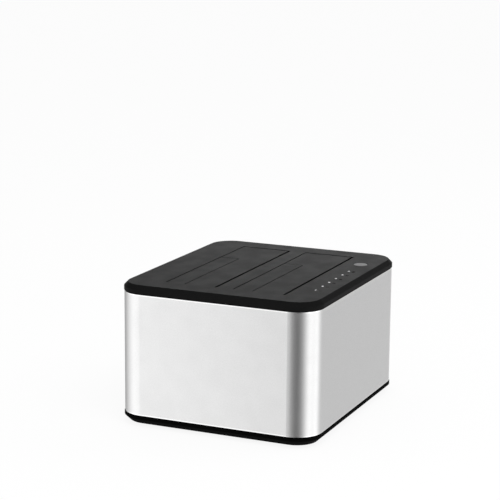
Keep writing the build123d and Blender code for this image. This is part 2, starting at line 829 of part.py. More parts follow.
# Its housing has a stepped mouth and two blades standing in it
with BuildPart() as usb_socket_housing:
    with BuildSketch(Plane.XZ.offset(-port_mouth)):
        with Locations((0, usb_axis_z)):
            Rectangle(usb_width - 2 * usb_shell, usb_height - 2 * usb_shell)
    extrude(amount=usb_length - usb_shell)
    with BuildSketch(Plane.XZ.offset(-port_mouth)):
        with Locations((0, usb_cavity_bottom + usb_lower_height / 2)):
            Rectangle(usb_lower_width, usb_lower_height)
        with Locations((0, usb_cavity_bottom + usb_lower_height + usb_upper_height / 2)):
            Rectangle(usb_upper_width, usb_upper_height)
    extrude(amount=usb_cavity_depth, mode=Mode.SUBTRACT)
    lower_blade_z = usb_cavity_bottom + usb_lower_height / 2
    upper_blade_z = usb_cavity_bottom + usb_lower_height + usb_upper_height / 2
    with BuildSketch(Plane.XZ.offset(-port_mouth + usb_blade_setback)):
        with Locations((0, lower_blade_z)):
            RectangleRounded(usb_blade_width, usb_blade_height, usb_blade_radius)
        with Locations((0, upper_blade_z)):
            Rectangle(usb_blade_width - 2 * usb_blade_radius, usb_upper_blade_height)
    extrude(amount=usb_cavity_depth - usb_blade_setback)
write(usb_socket_housing, "usb_socket_housing")

# Plated contacts on the lower blade, two above and two below
with BuildPart() as usb_contacts:
    contact_offset = (usb_blade_height + usb_contact_thickness) / 2
    with BuildSketch(Plane.XZ.offset(-port_mouth + 2 * usb_blade_setback)):
        with Locations((0, lower_blade_z)):
            with GridLocations(usb_contact_pitch, 2 * contact_offset, 2, 2):
                Rectangle(usb_contact_width, usb_contact_thickness)
    extrude(amount=usb_contact_length)
write(usb_contacts, "usb_contacts")

# Round power inlet: a moulded block with a collar through the panel and a pin in its bore
with BuildPart() as dc_jack_body:
    jack_face = panel_back - stop_gap
    with BuildSketch(Plane.XZ.offset(-jack_face)):
        with Locations((dc_x, board_top + dc_height / 2)):
            Rectangle(dc_width, dc_height)
    extrude(amount=dc_length)
    with BuildSketch(Plane.XZ.offset(-port_mouth)):
        with Locations((dc_x, dc_axis_z)):
            Circle(dc_collar_radius)
    extrude(amount=port_mouth - jack_face)
    with BuildSketch(Plane.XZ.offset(-port_mouth)):
        with Locations((dc_x, dc_axis_z)):
            Circle(dc_bore_radius)
    extrude(amount=dc_bore_depth, mode=Mode.SUBTRACT)
write(dc_jack_body, "dc_jack_body")

with BuildPart() as dc_jack_pin:
    with BuildSketch(Plane.XZ.offset(-port_mouth + dc_pin_setback)):
        with Locations((dc_x, dc_axis_z)):
            Circle(dc_pin_radius)
    extrude(amount=dc_bore_depth - dc_pin_setback)
    pin_nose = dc_jack_pin.faces().sort_by(Axis.Y)[-1]
    fillet(pin_nose.edges(), radius=dc_pin_radius / 2)
write(dc_jack_pin, "dc_jack_pin")

# Power switch: a moulded body with a pocket that the rocker turns in, on two short stubs
rocker_back_reach = rocker_back * lean_cos + rocker_half_length * lean_sin
switch_face = panel_back - stop_gap
pocket_floor_y = rocker_pivot_y - rocker_back_reach - rocker_gap
with BuildPart() as power_switch_body:
    with BuildSketch(Plane.XZ.offset(-switch_face)):
        with Locations((switch_x, switch_axis_z)):
            Rectangle(switch_width, switch_height)
    extrude(amount=switch_depth)
    with BuildSketch(Plane.XZ.offset(-switch_face)):
        with Locations((switch_x, switch_axis_z)):
            Rectangle(rocker_space_length, rocker_space_height)
    extrude(amount=switch_face - pocket_floor_y, mode=Mode.SUBTRACT)
    stub_space = rocker_height + 2 * (rocker_stub_length + rocker_gap)
    with BuildSketch(Plane.XY.offset(switch_axis_z - stub_space / 2)):
        with Locations((switch_x, rocker_pivot_y)):
            Circle(rocker_stub_radius + pin_play)
    extrude(amount=stub_space, mode=Mode.SUBTRACT)
write(power_switch_body, "power_switch_body")

# The rocker, with its two faces at an angle: the +X end is pressed in, the -X end stands out
with BuildPart() as power_rocker:
    with BuildSketch(Plane.XY.offset(switch_axis_z - rocker_height / 2)):
        with Locations(Location((switch_x, rocker_pivot_y), -rocker_half_angle)):
            Polygon(
                (-rocker_half_length, rocker_end_rise),
                (-rocker_half_length, -rocker_back),
                (rocker_half_length, -rocker_back),
                (rocker_half_length, rocker_end_rise),
                (0, rocker_rise),
            )
    extrude(amount=rocker_height)
    with BuildSketch(Plane.XY.offset(switch_axis_z - rocker_height / 2 - rocker_stub_length)):
        with Locations((switch_x, rocker_pivot_y)):
            Circle(rocker_stub_radius)
    extrude(amount=rocker_height + 2 * rocker_stub_length)
write(power_rocker, "power_rocker")

# Integrated circuits: the port controller, a bridge beside each receptacle and a flash chip
with BuildPart() as board_chips:
    chip_x = socket_x + (socket_length + controller_size) / 2 + controller_size
    controller_place = (chip_x, 0)
    bridge_places = [(chip_x, centre_y) for centre_y in bays.values()]
    flash_place = (chip_x + controller_size, bays["front"])
    with BuildSketch(Plane.XY.offset(board_top)):
        with Locations(controller_place):
            RectangleRounded(controller_size, controller_size, chip_edge_radius)
    extrude(amount=controller_height)
    with BuildSketch(Plane.XY.offset(board_top)):
        with Locations(bridge_places):
            RectangleRounded(bridge_size, bridge_size, chip_edge_radius)
    extrude(amount=bridge_height)
    with BuildSketch(Plane.XY.offset(board_top)):
        with Locations(flash_place):
            RectangleRounded(flash_length, flash_width, chip_edge_radius)
    extrude(amount=flash_height)
write(board_chips, "board_chips")

# Shielded inductors of the two step down converters, behind the power inlet
with BuildPart() as board_inductors:
    with BuildSketch(Plane.XY.offset(board_top)):
        with Locations((dc_x + controller_size, 0)):
            with GridLocations(0, controller_size, 1, 2):
                RectangleRounded(inductor_size, inductor_size, inductor_radius)
    extrude(amount=inductor_height)
write(board_inductors, "board_inductors")

# Crystal can beside the port controller
with BuildPart() as board_crystal:
    with BuildSketch(Plane.XY.offset(board_top)):
        with Locations((socket_x + socket_length / 2 + crystal_length / 2, 0)):
            SlotOverall(crystal_length, crystal_width)
    extrude(amount=crystal_height)
write(board_crystal, "board_crystal")

# Electrolytic capacitors in front of the front well, each with its crimped groove
capacitor_y = board_front + capacitor_radius + board_corner_radius / 2
with BuildPart() as board_capacitors:
    capacitor_places = [(socket_x + n * capacitor_pitch, capacitor_y) for n in (-1, 0, 1)]
    with BuildSketch(Plane.XY.offset(board_top)):
        with Locations(capacitor_places):
            Circle(capacitor_radius)
    extrude(amount=capacitor_height)
    with BuildSketch(Plane.XY.offset(board_top + capacitor_groove_height)):
        with Locations(capacitor_places):
            Circle(capacitor_radius + overrun)
            Circle(capacitor_radius - capacitor_groove, mode=Mode.SUBTRACT)
    extrude(amount=2 * capacitor_groove, mode=Mode.SUBTRACT)
write(board_capacitors, "board_capacitors")

# Indicator board under the cover's front strip
with BuildPart() as indicator_board:
    with BuildSketch(Plane.XY.offset(indicator_board_top - indicator_board_thickness)):
        with Locations((0, indicator_y)):
            Rectangle(indicator_board_length, indicator_board_width)
        with Locations(indicator_screw_points):
            Circle(small_screw_radius + screw_play, mode=Mode.SUBTRACT)
    extrude(amount=indicator_board_thickness)
write(indicator_board, "indicator_board")

# Indicator lamps, one under each light pipe
with BuildPart() as indicator_lamps:
    with BuildSketch(Plane.XY.offset(indicator_board_top)):
        with Locations(indicator_points):
            Rectangle(lamp_length, lamp_width)
    extrude(amount=lamp_height)
write(indicator_lamps, "indicator_lamps")

# Light pipes: six clear rods on one web, pushed up through the cover until they are flush
with BuildPart() as light_pipes:
    row_length = (indicator_count - 1) * indicator_pitch
    with BuildSketch(Plane.XY.offset(cover_underside - pipe_web_height)):
        with Locations((indicator_first_x + row_length / 2, indicator_y)):
            SlotOverall(row_length + pipe_web_width, pipe_web_width)
    extrude(amount=pipe_web_height)
    with BuildSketch(Plane.XY.offset(cover_underside)):
        with Locations(indicator_points):
            Circle(pipe_radius)
    extrude(amount=cover_plate)
    pipe_foot = indicator_board_top + lamp_height + pipe_lamp_gap
    with BuildSketch(Plane.XY.offset(pipe_foot)):
        with Locations(indicator_points):
            Circle(pipe_foot_radius)
    extrude(amount=cover_underside - pipe_web_height - pipe_foot)
write(light_pipes, "light_pipes")

# Copy button: a cap flush in the cover with a flange that stops it from coming out
button_bottom = cover_underside - button_flange_gap - button_flange_height
with BuildPart() as clone_button:
    with BuildSketch(Plane.XY.offset(button_bottom)):
        with Locations((button_x, indicator_y)):
            Circle(button_flange_radius)
    extrude(amount=button_flange_height)
    with BuildSketch(Plane.XY.offset(button_bottom)):
        with Locations((button_x, indicator_y)):
            Circle(button_radius)
    extrude(amount=cover_top + button_proud - button_bottom)
    button_face = clone_button.faces().sort_by(Axis.Z)[-1]
    fillet(button_face.edges(), radius=button_edge)
write(clone_button, "clone_button")

# Push switch under the button, with the plunger that the button bears on
tact_top = button_bottom - button_travel - tact_clearance
with BuildPart() as clone_switch:
    with BuildSketch(Plane.XY.offset(indicator_board_top)):
        with Locations((button_x, indicator_y)):
            Rectangle(tact_size, tact_size)
    extrude(amount=tact_top - indicator_board_top)
    with BuildSketch(Plane.XY.offset(tact_top - tact_bore_depth)):
        with Locations((button_x, indicator_y)):
            Circle(tact_bore_radius)
    extrude(amount=tact_bore_depth, mode=Mode.SUBTRACT)
write(clone_switch, "clone_switch")

plunger_bottom = tact_top - tact_bore_depth + button_travel + tact_plunger_gap
with BuildPart() as tact_plunger:
    with BuildSketch(Plane.XY.offset(plunger_bottom)):
        with Locations((button_x, indicator_y)):
            Circle(tact_plunger_radius)
    extrude(amount=button_bottom - plunger_bottom)
write(tact_plunger, "tact_plunger")

# Flat lead between the boards, with a moulded header at each end
upper_header_z = indicator_board_top - indicator_board_thickness - header_height
lower_header_z = board_top + header_height
main_header_y = board_front + main_header_setback
with BuildPart() as lead_headers:
    with BuildSketch(Plane.XY.offset(upper_header_z)):
        with Locations((lead_x, indicator_y)):
            Rectangle(header_length, header_depth)
            Rectangle(lead_width, lead_thickness, mode=Mode.SUBTRACT)
    extrude(amount=header_height)
    with BuildSketch(Plane.XY.offset(board_top)):
        with Locations((lead_x, main_header_y)):
            Rectangle(header_length, header_depth)
            Rectangle(lead_width, lead_thickness, mode=Mode.SUBTRACT)
    extrude(amount=header_height)
write(lead_headers, "lead_headers")

with BuildPart() as ribbon_lead:
    lead_rise = (upper_header_z - lower_header_z) / 3
    with BuildLine(Plane.YZ.offset(lead_x)) as lead_path:
        FilletPolyline(
            (indicator_y, upper_header_z + lead_entry),
            (indicator_y, upper_header_z - lead_rise),
            (main_header_y, lower_header_z + lead_rise),
            (main_header_y, lower_header_z - lead_entry),
            radius=lead_bend_radius,
        )
    with BuildSketch(Plane.XY.offset(upper_header_z + lead_entry)):
        with Locations((lead_x, indicator_y)):
            Rectangle(lead_width, lead_thickness)
    sweep(path=lead_path.wire())
write(ribbon_lead, "ribbon_lead")


def build_screws(points, seat, direction, shank_radius, shank_length, head_radius, head_height):
    """Pan head screws with a cross recess. The shank runs from the seat along direction, which
    is 1 for up and -1 for down, and the head lies on the seat's other side."""
    with BuildPart() as screws:
        with BuildSketch(Plane.XY.offset(seat)):
            with Locations(points):
                Circle(head_radius)
        extrude(amount=-direction * head_height)
        with BuildSketch(Plane.XY.offset(seat)):
            with Locations(points):
                Circle(shank_radius)
        extrude(amount=direction * shank_length)
        with BuildSketch(Plane.XY.offset(seat - direction * head_height)):
            with Locations(points):
                Rectangle(head_radius, driver_slot_width)
                Rectangle(driver_slot_width, head_radius)
        extrude(amount=direction * head_height / 2, mode=Mode.SUBTRACT)
    return screws


small_screw = (small_screw_radius, small_screw_length, small_head_radius, small_head_height)
indicator_screw = (
    small_screw_radius,
    indicator_screw_length,
    small_head_radius,
    small_head_height,
)
case_screw = (case_screw_radius, case_screw_length, case_head_radius, case_head_height)
well_tabs = [point for centre_y in bays.values() for point in tab_points(centre_y, tab_x)]
well_tab_underside = pocket_bottom - well_tab_thickness
indicator_board_underside = indicator_board_top - indicator_board_thickness
case_screw_seat = post_split - post_split_gap - screw_web
write(build_screws(post_points, case_screw_seat, 1, *case_screw), "case_screws")
write(build_screws(board_post_points, board_top, -1, *small_screw), "board_screws")
write(build_screws(well_tabs, well_tab_underside, 1, *small_screw), "well_screws")
write(
    build_screws(indicator_screw_points, indicator_board_underside, 1, *indicator_screw),
    "indicator_board_screws",
)
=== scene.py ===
import math
import bpy
import numpy as np
from mathutils import Matrix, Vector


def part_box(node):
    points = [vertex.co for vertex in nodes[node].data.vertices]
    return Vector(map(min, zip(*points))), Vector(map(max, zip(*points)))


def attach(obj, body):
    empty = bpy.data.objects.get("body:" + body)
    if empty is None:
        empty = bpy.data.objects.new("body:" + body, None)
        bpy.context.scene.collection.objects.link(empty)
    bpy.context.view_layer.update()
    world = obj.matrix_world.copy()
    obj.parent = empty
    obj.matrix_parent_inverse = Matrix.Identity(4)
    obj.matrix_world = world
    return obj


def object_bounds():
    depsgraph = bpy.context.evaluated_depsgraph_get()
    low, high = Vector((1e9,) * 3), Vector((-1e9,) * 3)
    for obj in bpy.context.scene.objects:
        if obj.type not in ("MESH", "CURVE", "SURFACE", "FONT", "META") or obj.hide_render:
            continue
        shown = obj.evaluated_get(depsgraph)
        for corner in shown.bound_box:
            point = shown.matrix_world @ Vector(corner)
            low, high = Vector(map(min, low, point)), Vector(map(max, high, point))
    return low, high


# A hard drive docking station with two upright bays, put together from the table up. Every length
# is in metres, the front is -Y, and each section makes and finishes one piece or group of pieces.

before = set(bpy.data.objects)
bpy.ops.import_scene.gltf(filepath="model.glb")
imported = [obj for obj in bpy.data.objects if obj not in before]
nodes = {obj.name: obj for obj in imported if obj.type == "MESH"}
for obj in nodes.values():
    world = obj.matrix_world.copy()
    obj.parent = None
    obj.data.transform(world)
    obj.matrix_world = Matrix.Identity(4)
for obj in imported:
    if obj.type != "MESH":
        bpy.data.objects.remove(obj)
cad_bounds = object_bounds()
mm = 0.001

# Base plate. The real one is a black moulded tray with a spark-eroded matte face, tapered in
# towards the table, with two rows of vents. It plugs into the sleeve and is screwed from below.
eroded_grain = 0.35 * mm
eroded_depth = 0.012 * mm
patch_grains = 30
roughness_drift = 0.02


def shader_of(finish):
    """The shader that a finish's colour, roughness and relief go to."""
    return finish.node_tree.nodes["Principled BSDF"]


def new_finish(name, color, roughness, metallic=0.0, gloss=0.5):
    """A node material whose shader has one colour, roughness, metal share and specular level."""
    finish = bpy.data.materials.new(name)
    finish.use_nodes = True
    shader = shader_of(finish)
    shader.inputs["Base Color"].default_value = (*color, 1.0)
    shader.inputs["Roughness"].default_value = roughness
    shader.inputs["Metallic"].default_value = metallic
    shader.inputs["Specular IOR Level"].default_value = gloss
    return finish


def add_node(owner, kind, settings=None, **links):
    """A new node of a finish or of the world. Settings are the values of its inputs, and each
    link is an output for the input of that name, where an underscore stands for a space."""
    node = owner.node_tree.nodes.new(kind)
    for name, value in (settings or {}).items():
        node.inputs[name].default_value = value
    for name, output in links.items():
        owner.node_tree.links.new(output, node.inputs[name.replace("_", " ")])
    return node


def send(finish, output, socket):
    """Links an output to the shader's socket."""
    finish.node_tree.links.new(output, shader_of(finish).inputs[socket])


def own_place(finish):
    """The object's own coordinates, which every pattern is laid over."""
    return add_node(finish, "ShaderNodeTexCoord").outputs["Object"]


def noise_over(finish, grain, detail=2.0, stretch=(1, 1, 1)):
    """Noise over the object's own coordinates, with lumps about one grain wide."""
    stretched = add_node(finish, "ShaderNodeMapping", {"Scale": stretch}, Vector=own_place(finish))
    settings = {"Scale": 1 / grain, "Detail": detail}
    noise = add_node(finish, "ShaderNodeTexNoise", settings, Vector=stretched.outputs["Vector"])
    return noise.outputs["Fac"]


def spread(finish, output, low, high, start=0.35, end=0.65):
    """The output, moved so that start to end becomes low to high, and clamped there."""
    limits = {"From Min": start, "From Max": end, "To Min": low, "To Max": high}
    return add_node(finish, "ShaderNodeMapRange", limits, Value=output).outputs["Result"]


def blend_colors(finish, factor, first, second):
    """A colour that goes from first to second as the factor goes from 0 to 1."""
    mix = finish.node_tree.nodes.new("ShaderNodeMix")
    mix.data_type = "RGBA"
    factor_input, first_input, second_input = mix.inputs[0], mix.inputs[6], mix.inputs[7]
    for socket, value in ((first_input, first), (second_input, second)):
        if isinstance(value, bpy.types.NodeSocket):
            finish.node_tree.links.new(value, socket)
        else:
            socket.default_value = (*value, 1.0)
    finish.node_tree.links.new(factor, factor_input)
    return mix.outputs[2]


def emboss(finish, height, depth):
    """Raises the surface by depth where height is 1, over any relief that it has already."""
    relief = shader_of(finish).inputs["Normal"]
    bump = add_node(finish, "ShaderNodeBump", {"Distance": depth}, Height=height)
    if relief.is_linked:
        finish.node_tree.links.new(relief.links[0].from_socket, bump.inputs["Normal"])
    finish.node_tree.links.new(bump.outputs["Normal"], relief)


def moulded(name, dark, light, roughness, gloss):
    """Matte moulded plastic: fine eroded grain, and patches of it a little rougher or smoother."""
    finish = new_finish(name, dark, roughness, gloss=gloss)
    fine = noise_over(finish, eroded_grain, detail=3.0)
    patches = noise_over(finish, patch_grains * eroded_grain)
    smoothest, roughest = roughness - roughness_drift, roughness + roughness_drift
    send(finish, blend_colors(finish, spread(finish, fine, 0.0, 1.0), dark, light), "Base Color")
    send(finish, spread(finish, patches, smoothest, roughest), "Roughness")
    emboss(finish, fine, eroded_depth)
    return finish


def paint(finish, *names):
    """Puts a finish on each named CAD node."""
    for name in names:
        materials = nodes[name].data.materials
        materials.clear()
        materials.append(finish)


base_dark, base_light = (0.0015, 0.0015, 0.0015), (0.003, 0.003, 0.003)
base_finish = moulded("base_plastic", base_dark, base_light, roughness=0.6, gloss=0.01)
paint(base_finish, "base_plate")

# Rubber feet. Four soft black discs glued into the base's recesses, with fine rings from the
# turned mould and a faint dusting picked up from the table.
foot_ring_pitch = 1.0 * mm
foot_ring_depth = 0.05 * mm
foot_spread = (98 * mm, 78 * mm)
waves_a_metre = 3.18


def centred(finish, place, x, y):
    """Coordinates counted from the upright line through x, y."""
    shift = {"Location": (-x, -y, 0)}
    return add_node(finish, "ShaderNodeMapping", shift, Vector=place).outputs["Vector"]


def ridges(finish, place, pitch, round_z=False):
    """Even ridges, from 0 in a groove to 1 on a crest: bands across X or rings round Z. A wave
    texture has waves_a_metre waves to a metre at scale 1, and more in step with its scale."""
    settings = {"Scale": 1 / (waves_a_metre * pitch)}
    wave = add_node(finish, "ShaderNodeTexWave", settings, Vector=place)
    if round_z:
        wave.wave_type = "RINGS"
        wave.rings_direction = "Z"
    return wave.outputs["Fac"]


foot_finish = new_finish("foot_rubber", (0.018, 0.018, 0.018), roughness=0.75, gloss=0.3)
foot_mirror = add_node(foot_finish, "ShaderNodeVectorMath", Vector=own_place(foot_finish))
foot_mirror.operation = "ABSOLUTE"
foot_place = centred(
    foot_finish, foot_mirror.outputs["Vector"], x=foot_spread[0] / 2, y=foot_spread[1] / 2
)
foot_rings = ridges(foot_finish, foot_place, foot_ring_pitch, round_z=True)
emboss(foot_finish, foot_rings, foot_ring_depth)
foot_dust = spread(foot_finish, noise_over(foot_finish, grain=1.5 * mm), 0.0, 1.0)
foot_colors = blend_colors(foot_finish, foot_dust, (0.015, 0.015, 0.015), (0.03, 0.029, 0.028))
send(foot_finish, foot_colors, "Base Color")
paint(foot_finish, "rubber_feet")

# Circuit boards. Green glass fibre: the main board on four posts in the base, and a small one
# under the indicator row, with copper tracks just showing through a glossy solder mask.
track_pitch = 1.3 * mm
track_half_width = 0.18 * track_pitch
cross_track_pitch = 9 * track_pitch
track_relief = 0.03 * mm
mask_green, track_green = (0.010, 0.075, 0.028), (0.018, 0.125, 0.048)
board_finish = new_finish("solder_mask", mask_green, roughness=0.3)
track_pattern = {
    "Scale": 1.0,
    "Mortar Size": track_half_width,
    "Mortar Smooth": 0.2,
    "Brick Width": cross_track_pitch,
    "Row Height": track_pitch,
}
board_place = own_place(board_finish)
track_lines = add_node(board_finish, "ShaderNodeTexBrick", track_pattern, Vector=board_place)
tracks = track_lines.outputs["Fac"]
send(board_finish, blend_colors(board_finish, tracks, mask_green, track_green), "Base Color")
emboss(board_finish, tracks, track_relief)
board_sheen = noise_over(board_finish, grain=4 * mm)
send(board_finish, spread(board_finish, board_sheen, 0.26, 0.36), "Roughness")
paint(board_finish, "main_board", "indicator_board")

# What is soldered to the board: black epoxy chips with dull tops, ferrite inductors, a crystal
# in a drawn can and electrolytic capacitors, whose dark sleeves leave a disc of bare can on top.
chip_dark, chip_light = (0.012, 0.012, 0.013), (0.018, 0.018, 0.019)
chip_finish = moulded("chip_epoxy", chip_dark, chip_light, roughness=0.45, gloss=0.4)
paint(chip_finish, "board_chips", "board_inductors")

plated_steel = new_finish("plated_steel", (0.62, 0.61, 0.58), roughness=0.3, metallic=1.0)
plating_streaks = noise_over(plated_steel, grain=0.8 * mm, detail=4.0, stretch=(1, 0.15, 1))
send(plated_steel, spread(plated_steel, plating_streaks, 0.24, 0.4), "Roughness")
emboss(plated_steel, plating_streaks, depth=0.006 * mm)
paint(plated_steel, "board_crystal")

can_sleeve, bare_can = (0.012, 0.012, 0.03), (0.7, 0.7, 0.7)
can_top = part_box("board_capacitors")[1].z
bare_depth = 0.05 * mm


def own_axis(finish, axis):
    """One of the object's own coordinates."""
    return add_node(finish, "ShaderNodeSeparateXYZ", Vector=own_place(finish)).outputs[axis]


capacitor_finish = new_finish("capacitor_sleeve", can_sleeve, roughness=0.35)
can_level = own_axis(capacitor_finish, "Z")
bare_top = spread(capacitor_finish, can_level, 0.0, 1.0, start=can_top - bare_depth, end=can_top)
send(capacitor_finish, blend_colors(capacitor_finish, bare_top, can_sleeve, bare_can), "Base Color")
send(capacitor_finish, bare_top, "Metallic")
paint(capacitor_finish, "board_capacitors")

# Leads of the chips. Tinned gull-wing legs, bent down from the middle of each chip's edge to a
# flat foot on the board, one row a side.
lead_width = 0.25 * mm
lead_thickness = 0.15 * mm
lead_pitch = 0.8 * mm
lead_root = 0.3 * mm
lead_shoulder = 0.3 * mm
lead_slope = 0.25 * mm
lead_foot = 0.6 * mm
board_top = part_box("main_board")[1].z
chips_low, chips_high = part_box("board_chips")
bridge_size = 9 * mm
bridge_height = 1.0 * mm
controller_size = 14 * mm
controller_height = 1.4 * mm
chip_x = chips_low.x + controller_size / 2
bay_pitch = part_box("rear_sata_socket")[0].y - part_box("front_sata_socket")[0].y
rear_bridge_y = chips_high.y - bridge_size / 2
chips = [
    (chip_x, 0.0, controller_size, controller_height),
    (chip_x, rear_bridge_y - bay_pitch, bridge_size, bridge_height),
    (chip_x, rear_bridge_y, bridge_size, bridge_height),
]


def new_object(name, data):
    """An object of the scene that holds the data, at the origin."""
    thing = bpy.data.objects.new(name, data)
    bpy.context.scene.collection.objects.link(thing)
    return thing


def add_piece(name, points, faces, finish, body, slot):
    """A mesh object at the origin from points and faces, finished and riding on a body."""
    mesh = bpy.data.meshes.new(name)
    mesh.from_pydata(np.asarray(points, dtype=float).tolist(), [], faces)
    mesh.materials.append(finish)
    piece = new_object(name, mesh)
    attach(piece, body)
    return piece


def carried(section, path_points, path_sides):
    """A closed section carried along a path. Point i of the path and point j of the section meet
    at path_points[i] + section[j][0] * path_sides[i] + (0, 0, section[j][1])."""
    rise = np.array([0.0, 0.0, 1.0])
    across = section[None, :, 0, None] * path_sides[:, None, :]
    return path_points[:, None, :] + across + section[None, :, 1, None] * rise


def tube_faces(rings, around, start=0, closed=False):
    """Faces of a grid of rings of points, numbered ring by ring, with both ends capped or, if
    closed, the last ring joined to the first."""
    ring = np.arange(rings if closed else rings - 1)
    i, j = np.meshgrid(ring, np.arange(around), indexing="ij")
    here = i * around
    following = (i + 1) % rings * around
    beside = (j + 1) % around
    corners = [here + j, here + beside, following + beside, following + j]
    faces = (np.stack(corners, axis=-1).reshape(-1, 4) + start).tolist()
    if not closed:
        faces.append([start + n for n in reversed(range(around))])
        faces.append([start + (rings - 1) * around + n for n in range(around)])
    return faces


def gull_wings(chip):
    """Points and faces of all the legs round one square chip. A leg is a rectangle carried from
    inside the chip's edge, out, down and along the board; a quarter turn gives each side."""
    x, y, size, height = chip
    outward = np.cumsum([size / 2 - lead_root, lead_root + lead_shoulder, lead_slope, lead_foot])
    level = np.array([height / 2, height / 2, lead_thickness / 2, lead_thickness / 2])
    corners = [(-1, -1), (1, -1), (1, 1), (-1, 1)]
    section = np.array(corners) * (lead_width / 2, lead_thickness / 2)
    count = int((size - 2 * lead_pitch) / lead_pitch)
    points, faces = [], []
    for side in range(4):
        turn = side * math.pi / 2
        out = np.array([math.cos(turn), math.sin(turn), 0.0])
        along = np.array([-math.sin(turn), math.cos(turn), 0.0])
        for n in range(count):
            offset = (n - (count - 1) / 2) * lead_pitch
            middle = np.array([x, y, board_top]) + offset * along
            path = middle + outward[:, None] * out
            path[:, 2] += level
            leg = carried(section, path, np.tile(along, (len(path), 1))).reshape(-1, 3)
            faces += tube_faces(len(path), len(section), start=len(points))
            points += leg.tolist()
    return points, faces


leg_points, leg_faces = [], []
for chip in chips:
    points, faces = gull_wings(chip)
    leg_faces += [[index + len(leg_points) for index in face] for face in faces]
    leg_points += points
add_piece("chip_leads", leg_points, leg_faces, plated_steel, "case", "plated_steel")

# Small resistors and capacitors beside the chips: ceramic blocks with tinned end caps, reflowed
# onto the board in straight rows.
passive_length = 1.6 * mm
passive_width = 0.8 * mm
passive_height = 0.5 * mm
passive_cap = 0.35 * mm
passive_pitch = 1.9 * mm
passive_gap = 3.4 * mm
passives_a_row = 5
body_share = 0.92
body_edge = 0.05 * mm
cap_edge = 0.08 * mm
ceramic_dark, ceramic_light = (0.16, 0.10, 0.06), (0.28, 0.20, 0.13)
ceramic = new_finish("ceramic", (0.22, 0.15, 0.09), roughness=0.55)
ceramic_speckle = noise_over(ceramic, grain=0.4 * mm)
ceramic_colors = blend_colors(ceramic, ceramic_speckle, ceramic_dark, ceramic_light)
send(ceramic, ceramic_colors, "Base Color")
passive_row = (np.arange(passives_a_row) - (passives_a_row - 1) / 2) * passive_pitch
passive_middles = [
    (x + side * (size / 2 + passive_gap), y + offset)
    for x, y, size, height in chips
    for side in (-1, 1)
    for offset in passive_row
]


def blocks(middles, offset, length, width, height):
    """Points and faces of equal blocks that stand on the board, one at each middle, each moved
    by offset along X: eight corners are the middle plus or minus half of each size."""
    signs = np.array([(x, y, z) for x in (-1, 1) for y in (-1, 1) for z in (0, 1)], dtype=float)
    corners = signs * (length / 2, width / 2, height)
    places = np.array([(x + offset, y, board_top) for x, y in middles])
    points = (places[:, None, :] + corners[None, :, :]).reshape(-1, 3)
    block = [(0, 1, 3, 2), (4, 6, 7, 5), (0, 4, 5, 1), (2, 3, 7, 6), (0, 2, 6, 4), (1, 5, 7, 3)]
    faces = [[8 * n + corner for corner in face] for n in range(len(places)) for face in block]
    return points, faces


def soften_edges(piece, width, segments=2):
    """Rounds every sharp edge of a piece."""
    bevel = piece.modifiers.new("soft_edges", "BEVEL")
    bevel.width = width
    bevel.segments = segments
    bevel.limit_method = "ANGLE"


core_length = passive_length - 2 * passive_cap
core_width = passive_width * body_share
core_height = passive_height * body_share
cores = blocks(passive_middles, 0.0, core_length, core_width, core_height)
soften_edges(add_piece("passive_bodies", *cores, ceramic, "case", "white_moulding"), body_edge)
for side, name in ((-1, "passive_caps_left"), (1, "passive_caps_right")):
    shift = side * (core_length + passive_cap) / 2
    caps = blocks(passive_middles, shift, passive_cap, passive_width, passive_height)
    soften_edges(add_piece(name, *caps, plated_steel, "case", "plated_steel"), cap_edge)

# Upright receptacles. Glass-filled black plastic, soldered upright on the board, with a row of
# gold plated blades along the power and the data tongue.
socket_dark, socket_light = (0.028, 0.028, 0.029), (0.040, 0.040, 0.041)
socket_finish = moulded("socket_plastic", socket_dark, socket_light, roughness=0.4, gloss=0.5)
paint(socket_finish, "front_sata_socket", "rear_sata_socket")


def blotched_metal(name, color, dull, bright, smoothest, roughest, grain):
    """Bare or plated metal with blotches about one grain wide: brighter ones are also rougher."""
    finish = new_finish(name, color, (smoothest + roughest) / 2, metallic=1.0)
    blotches = noise_over(finish, grain, detail=4.0)
    send(finish, blend_colors(finish, blotches, dull, bright), "Base Color")
    send(finish, spread(finish, blotches, smoothest, roughest), "Roughness")
    return finish


gold = blotched_metal(
    "gold_plate",
    color=(0.86, 0.62, 0.22),
    dull=(0.78, 0.54, 0.18),
    bright=(0.93, 0.70, 0.28),
    smoothest=0.18,
    roughest=0.34,
    grain=0.6 * mm,
)
paint(gold, "front_sata_contacts", "rear_sata_contacts", "usb_contacts")

# Sockets at the rear. The square one is a folded steel shell round an off-white moulding, the
# round one a black block with a plated pin, both soldered to the board behind the panel.
ivory_dark, ivory_light = (0.55, 0.53, 0.47), (0.63, 0.61, 0.55)
ivory = moulded("ivory_plastic", ivory_dark, ivory_light, roughness=0.45, gloss=0.4)
port_dark, port_light = (0.010, 0.010, 0.011), (0.014, 0.014, 0.015)
port_black = moulded("port_plastic", port_dark, port_light, roughness=0.4, gloss=0.4)
paint(plated_steel, "usb_socket_shell", "dc_jack_pin")
paint(ivory, "usb_socket_housing")
paint(port_black, "dc_jack_body")

